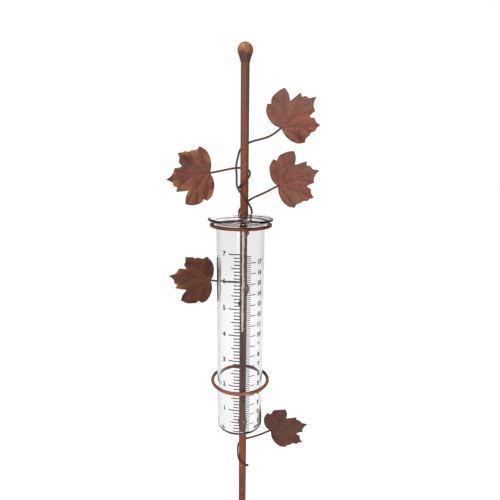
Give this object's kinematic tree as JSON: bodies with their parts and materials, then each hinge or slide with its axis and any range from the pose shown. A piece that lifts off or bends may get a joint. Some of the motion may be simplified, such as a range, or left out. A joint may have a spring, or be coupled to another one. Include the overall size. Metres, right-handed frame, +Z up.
{
  "type": "manual rain gauge",
  "caption": "Manual rain gauge: a flared glass measuring tube in wire rings on a rusted garden stake with a ball finial and stamped leaves.",
  "frame": {"origin": "on the stake's axis at the ground line", "axes": "+Z up along the stake, -Y towards the glass tube, +X to the right seen from the tube's side"},
  "size_m": [0.1496, 0.0758, 0.7633],
  "materials": {
    "rusted_stake": "rusted, matt",
    "rusted_ball": "rusted, satin",
    "rusted_wire": "rusted, satin",
    "stem_wire": "dark rust, matt",
    "rusted_leaf": "mottled rust, satin",
    "weld_metal": "rusted weld, matt",
    "clear_glass": "clear, printed with black graduations"
  },
  "bodies": {
    "stand": {"stake_rod": "rusted_stake", "finial_ball": "rusted_ball", "finial_weld": "weld_metal", "upper_ring": "rusted_wire", "upper_ring_weld": "weld_metal", "lower_ring": "rusted_wire", "lower_ring_weld": "weld_metal", "leaf_upper_right": "rusted_leaf", "stem_upper_right": "stem_wire", "tack_upper_right": "weld_metal", "braze_upper_right": "weld_metal", "leaf_upper_left": "rusted_leaf", "stem_upper_left": "stem_wire", "tack_upper_left": "weld_metal", "braze_upper_left": "weld_metal", "leaf_middle_right": "rusted_leaf", "stem_middle_right": "stem_wire", "tack_middle_right": "weld_metal", "braze_middle_right": "weld_metal", "leaf_lower_left": "rusted_leaf", "stem_lower_left": "stem_wire", "tack_lower_left": "weld_metal", "braze_lower_left": "weld_metal", "leaf_bottom_right": "rusted_leaf", "stem_bottom_right": "stem_wire", "tack_bottom_right": "weld_metal", "braze_bottom_right": "weld_metal"},
    "tube": {"glass_tube": "clear_glass"}
  },
  "joints": [
    {"name": "tube_lift", "type": "slide", "parent": "stand", "child": "tube", "axis": [0, 0, 1], "range_m": [0, 0.22]}
  ]
}
